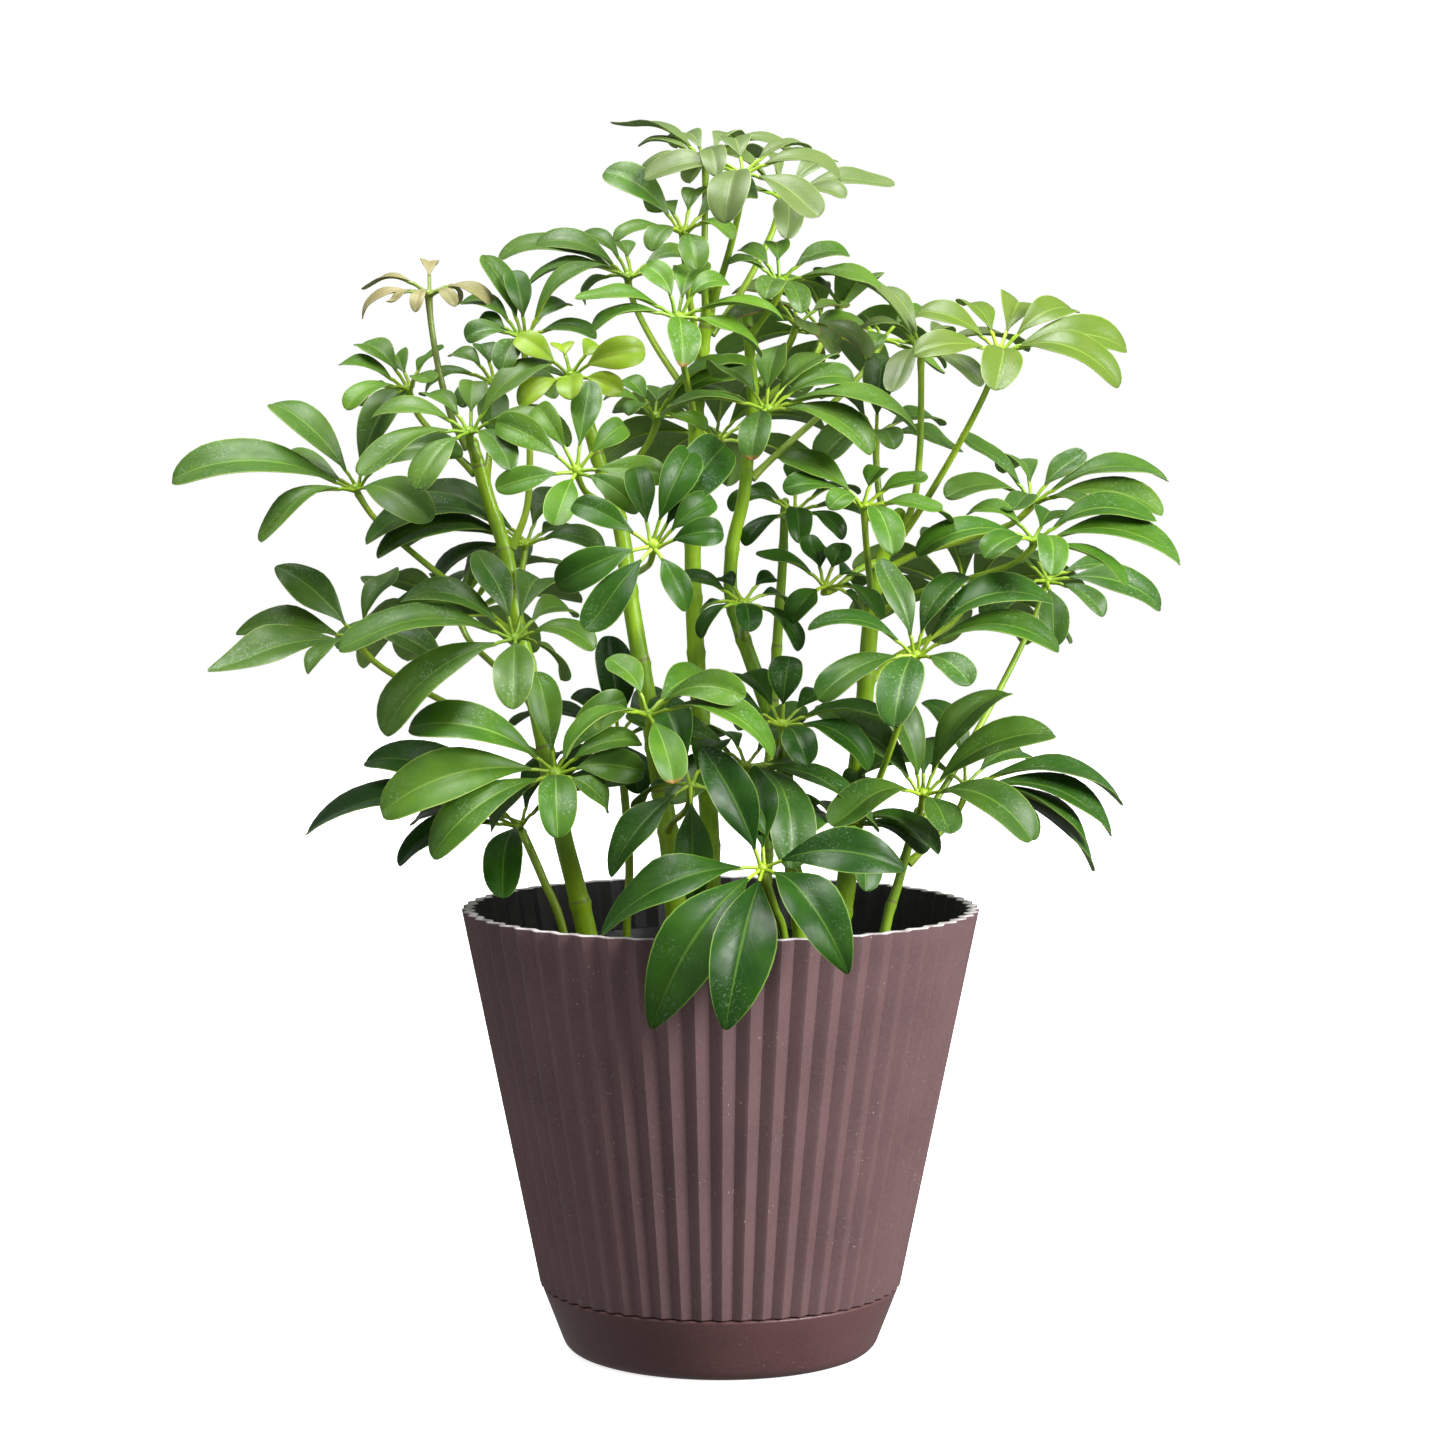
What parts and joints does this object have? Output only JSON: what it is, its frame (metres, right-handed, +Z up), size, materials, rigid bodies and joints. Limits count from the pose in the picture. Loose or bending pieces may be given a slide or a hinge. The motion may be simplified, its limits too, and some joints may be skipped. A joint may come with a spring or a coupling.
{
  "type": "potted dwarf umbrella tree",
  "caption": "Young dwarf umbrella tree with several green stems and whorled leaves, in a pleated pot on its saucer.",
  "frame": {"origin": "middle of the saucer's underside, on the surface it stands on", "axes": "+Z up along the pot's axis, -Y towards the front, +X to the right as seen from the front"},
  "size_m": [0.403, 0.2747, 0.4979],
  "materials": {
    "pot": "matte reddish brown, fine grain",
    "saucer": "smooth satin reddish brown",
    "black_plastic": "thin black moulding",
    "soil": "crumbly peat mix",
    "stem": "smooth green bark with rings",
    "shoot": "smooth green shoot",
    "leaf_deep": "deep green, glossy",
    "leaf_dark": "dark green, glossy",
    "leaf_fresh": "fresh green, glossy",
    "leaf_pale": "pale young green",
    "leaf_bright": "bright yellow green",
    "leaf_yellow": "yellow green, young",
    "leaf_bronze": "bronze, very young",
    "leaf_red_edge": "green with reddish edges"
  },
  "bodies": {
    "root": {"saucer": "saucer", "pot": "pot", "nursery_pot": "black_plastic", "soil": "soil", "stem_centre": "stem", "stem_centre_left": "stem", "stem_left": "stem", "stem_centre_right": "stem", "stem_right": "stem", "shoot_right": "shoot", "shoot_back": "shoot", "leaf_front_rosette": "leaf_deep", "leaf_low_left_front": "leaf_fresh", "leaf_pot_front": "leaf_deep", "leaf_low_centre": "leaf_dark", "leaf_mid_centre": "leaf_fresh", "leaf_right_low_front": "leaf_dark", "leaf_centre_right_long": "leaf_deep", "leaf_right_inner": "leaf_deep", "leaf_left_arch": "leaf_deep", "leaf_left_node": "leaf_deep", "leaf_left_low": "leaf_deep", "leaf_left_high": "leaf_deep", "leaf_left_crown": "leaf_deep", "leaf_left_back_high": "leaf_deep", "leaf_left_cluster": "leaf_fresh", "leaf_bronze_young": "leaf_bronze", "leaf_upper_left": "leaf_deep", "leaf_yellow_young": "leaf_yellow", "leaf_mid_left": "leaf_fresh", "leaf_crown_left": "leaf_pale", "leaf_crown_front": "leaf_pale", "leaf_crown_back": "leaf_pale", "leaf_crown_low": "leaf_deep", "leaf_upper_centre": "leaf_fresh", "leaf_upper_back": "leaf_deep", "leaf_upper_right": "leaf_deep", "leaf_red_edge": "leaf_red_edge", "leaf_behind_right": "leaf_deep", "leaf_pale_right": "leaf_pale", "leaf_bright_right": "leaf_bright", "leaf_small_centre": "leaf_fresh", "leaf_centre_right_front": "leaf_deep", "leaf_upright_right": "leaf_deep", "leaf_right_front": "leaf_fresh", "leaf_far_right_high": "leaf_deep", "leaf_far_right_mid": "leaf_fresh", "leaf_far_right_low": "leaf_deep", "leaf_right_middle": "leaf_deep", "leaf_right_low": "leaf_deep", "leaf_right_low_arch": "leaf_deep", "leaf_low_left_back": "leaf_dark", "leaf_middle_back_left": "leaf_dark", "leaf_small_whorl": "leaf_dark", "leaf_centre_broad": "leaf_dark", "leaf_shoot_back_top": "leaf_dark", "leaf_back_1": "leaf_deep", "leaf_back_2": "leaf_deep", "leaf_back_3": "leaf_deep", "leaf_back_4": "leaf_deep"}
  },
  "joints": []
}
